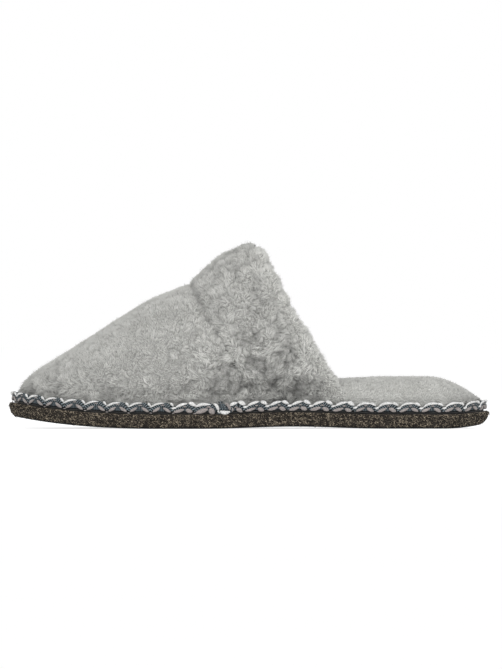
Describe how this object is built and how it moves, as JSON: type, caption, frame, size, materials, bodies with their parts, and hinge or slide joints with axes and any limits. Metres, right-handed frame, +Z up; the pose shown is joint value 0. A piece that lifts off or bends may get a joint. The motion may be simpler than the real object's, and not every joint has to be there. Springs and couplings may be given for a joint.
{
  "type": "house slipper",
  "caption": "Closed-toe, open-heel house slipper with a fleece upper, padded fleece insole, braided edge trim and a flat felt sole.",
  "frame": {"origin": "centre of the slipper's box at the ground plane", "axes": "+X from toe to heel, +Y towards the inner side of the foot, +Z up"},
  "size_m": [0.2698, 0.0972, 0.1035],
  "materials": {
    "fleece": "short curly light grey fleece pile",
    "lining": "short fine light grey fleece pile",
    "felt": "pressed felt, brown and black with pale fibres",
    "tread": "thin matt black rubber coat",
    "foam": "soft open foam",
    "board": "fibre board",
    "interlining": "non-woven sheet",
    "slate_yarn": "dark slate yarn, matt",
    "white_yarn": "white yarn, matt",
    "rose_yarn": "greyish rose yarn, matt",
    "thread": "dark sewing thread"
  },
  "bodies": {
    "root": {"tread_sole": "tread", "felt_sole": "felt", "insole_board": "board", "footbed_foam": "foam", "insole_fleece": "lining", "vamp_fleece": "fleece", "band_fleece": "fleece", "topline_roll": "fleece", "upper_interlining": "interlining", "upper_lining": "lining", "vamp_seam_thread": "thread", "braid_tape": "slate_yarn", "braid_white_cord": "white_yarn", "braid_rose_cord": "rose_yarn", "braid_join_tab": "slate_yarn", "sole_seam_thread": "thread"}
  },
  "joints": []
}
